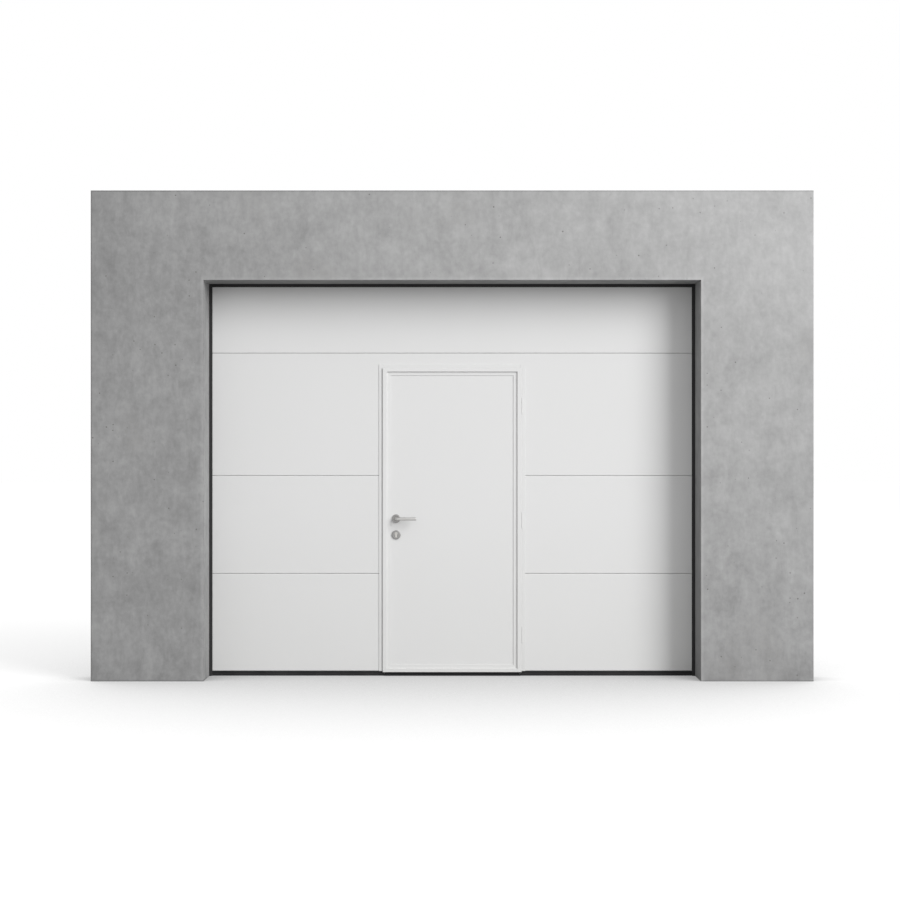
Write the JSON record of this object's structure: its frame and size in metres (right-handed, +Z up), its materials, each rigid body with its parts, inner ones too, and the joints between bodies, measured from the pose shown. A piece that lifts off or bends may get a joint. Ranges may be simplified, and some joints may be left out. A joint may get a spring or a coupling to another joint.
{
  "type": "sectional garage door with wicket door",
  "caption": "Smooth white sectional garage door behind a concrete portal, with a side-hung wicket door, lever handle, tracks, torsion springs and lift cables.",
  "frame": {"origin": "middle of the opening's width, at floor level, on the mid-plane of the door sections", "axes": "+X to the right seen from outside, +Y into the garage, +Z up"},
  "size_m": [4.36, 3.074, 2.96],
  "materials": {
    "concrete": "matte",
    "door_white": "satin",
    "frame_white": "satin",
    "seal_black": "matte",
    "threshold_dark": "satin",
    "galvanised": "satin",
    "stainless": "satin",
    "hinge_dark": "satin",
    "roller_nylon": "satin",
    "spring_steel": "satin",
    "drum_alloy": "matte",
    "cable_steel": "satin",
    "cylinder_nickel": "satin"
  },
  "bodies": {
    "portal_and_door": {"left_pier": "concrete", "right_pier": "concrete", "lintel": "concrete", "side_seals": "seal_black", "top_seal": "seal_black", "bottom_seals": "seal_black", "top_section": "door_white", "upper_section": "door_white", "left_middle_section": "door_white", "right_middle_section": "door_white", "left_bottom_section": "door_white", "right_bottom_section": "door_white", "wicket_frame_lock_post": "frame_white", "wicket_frame_hinge_post": "frame_white", "wicket_frame_head": "frame_white", "threshold": "threshold_dark", "strike_plate": "stainless", "frame_hinge_halves": "hinge_dark", "frame_angles": "galvanised", "vertical_tracks": "galvanised", "curved_tracks": "galvanised", "horizontal_tracks": "galvanised", "rollers": "roller_nylon", "roller_holders": "galvanised", "section_hinges": "galvanised", "torsion_shaft": "galvanised", "torsion_springs": "spring_steel", "cable_drums": "drum_alloy", "lift_cables": "cable_steel", "bearing_plates": "galvanised", "rear_cross_bar": "galvanised", "ceiling_hangers": "galvanised", "bottom_brackets": "galvanised"},
    "wicket_leaf": {"leaf_panel": "door_white", "leaf_lock_stile": "frame_white", "leaf_hinge_stile": "frame_white", "leaf_rails": "frame_white", "leaf_bottom_seal": "seal_black", "leaf_hinge_halves": "hinge_dark", "lock_forend": "stainless", "lock_cylinder": "cylinder_nickel", "lever_roses": "stainless", "lock_escutcheons": "stainless"},
    "lever": {"outer_lever": "stainless", "inner_lever": "stainless", "lever_spindle": "stainless"}
  },
  "joints": [
    {"name": "wicket_hinge", "type": "hinge", "parent": "portal_and_door", "child": "wicket_leaf", "pos_m": [0.433, -0.0302, 0.948], "axis": [0, 0, 1], "range_deg": [0, 100]},
    {"name": "lever_turn", "type": "hinge", "parent": "wicket_leaf", "child": "lever", "pos_m": [-0.346, 0, 0.971], "axis": [0, 1, 0], "range_deg": [0, 40], "stiffness_Nm_per_rad": 1.5, "springref_deg": -20.05}
  ]
}
